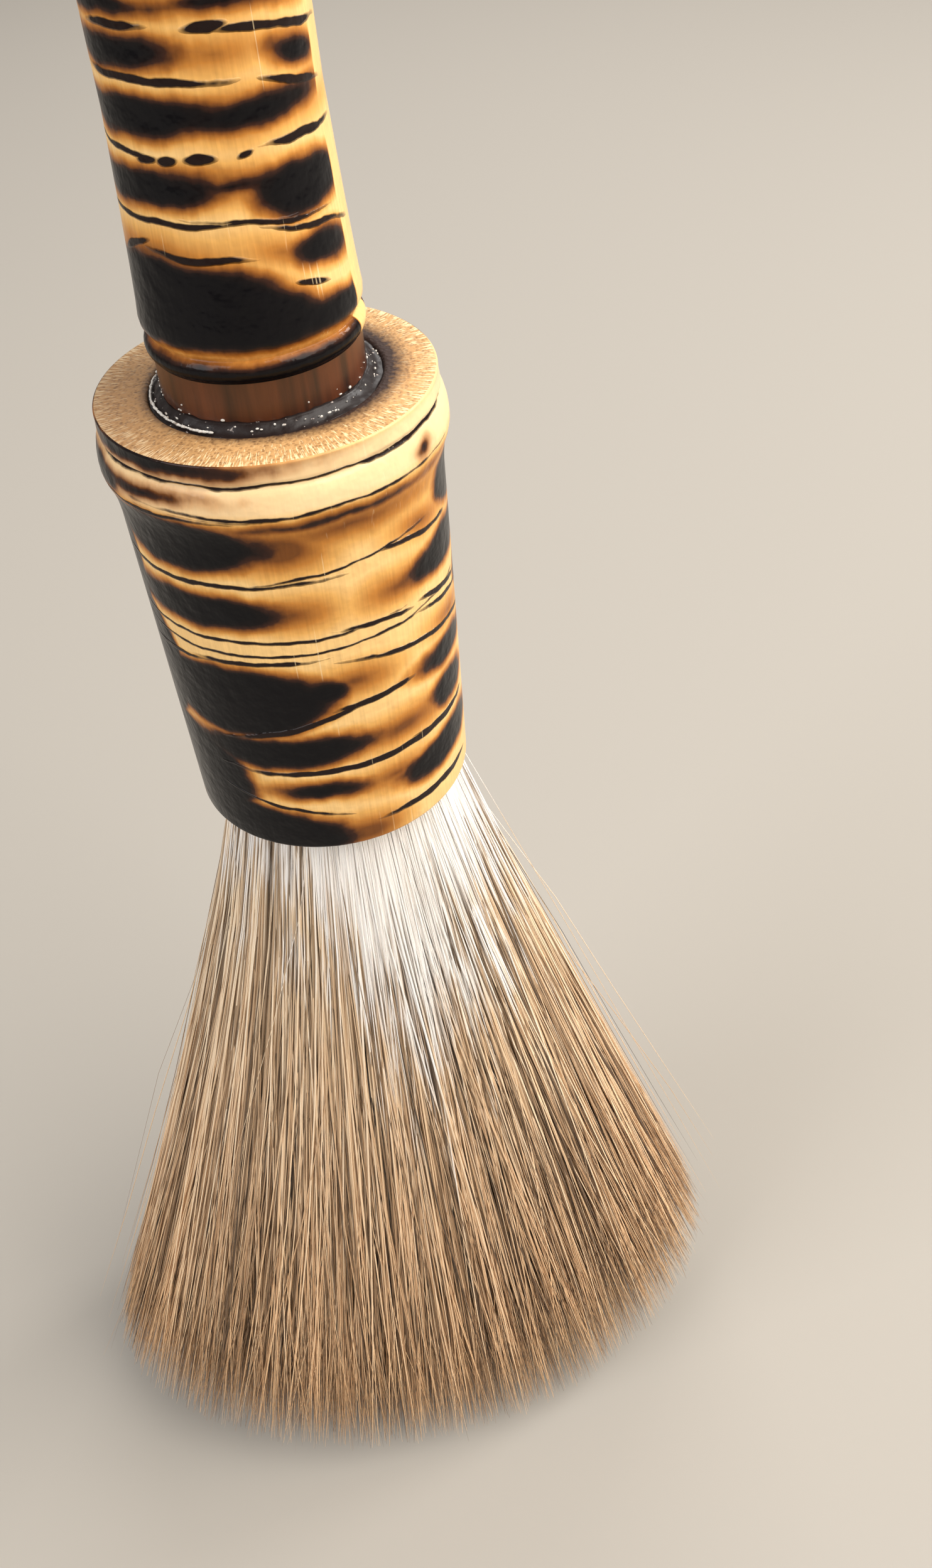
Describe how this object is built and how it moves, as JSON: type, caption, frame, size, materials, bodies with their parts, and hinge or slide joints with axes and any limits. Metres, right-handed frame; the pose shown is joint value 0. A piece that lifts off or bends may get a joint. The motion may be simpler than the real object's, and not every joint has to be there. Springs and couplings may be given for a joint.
{
  "type": "shaving brush",
  "caption": "Barber's brush with a scorched bamboo handle glued into a stout bamboo ferrule that holds a long, fanned head of pale natural hair.",
  "frame": {"origin": "on the floor under the middle of the hair tips, with the handle straight up", "axes": "+Z from the hair tips to the sawn end of the handle, X along the broad side of the fanned hair, Y through its thin side"},
  "size_m": [0.0998, 0.0592, 0.3042],
  "materials": {
    "scorched_bamboo_handle": "lacquered bamboo with black scorched bands",
    "scorched_bamboo_ferrule": "lacquered bamboo with black scorched bands",
    "plug_wood": "sawn hardwood",
    "glue": "amber set glue",
    "dark_glue": "rough squeezed-out dark glue",
    "resin": "set resin",
    "thread": "waxed thread",
    "goat_hair_white": "fine natural hair",
    "goat_hair": "fine natural hair, pale with some dark strands"
  },
  "bodies": {
    "handle": {"handle_culm": "scorched_bamboo_handle", "handle_end_plug": "plug_wood", "neck_dowel": "plug_wood", "dowel_glue": "glue", "ferrule_cup": "scorched_bamboo_ferrule", "socket_glue_bed": "glue", "neck_glue_ring": "dark_glue", "knot_spacer_disc": "plug_wood", "knot_resin_plug": "resin", "knot_binding_thread": "thread", "hair_roots": "goat_hair_white"},
    "hair": {"hair_fan": "goat_hair"}
  },
  "joints": [
    {"name": "hair_bend", "type": "hinge", "parent": "handle", "child": "hair", "pos_m": [0, 0, 0.127], "axis": [1, 0, 0], "range_deg": [-18, 18], "stiffness_Nm_per_rad": 0.5}
  ]
}
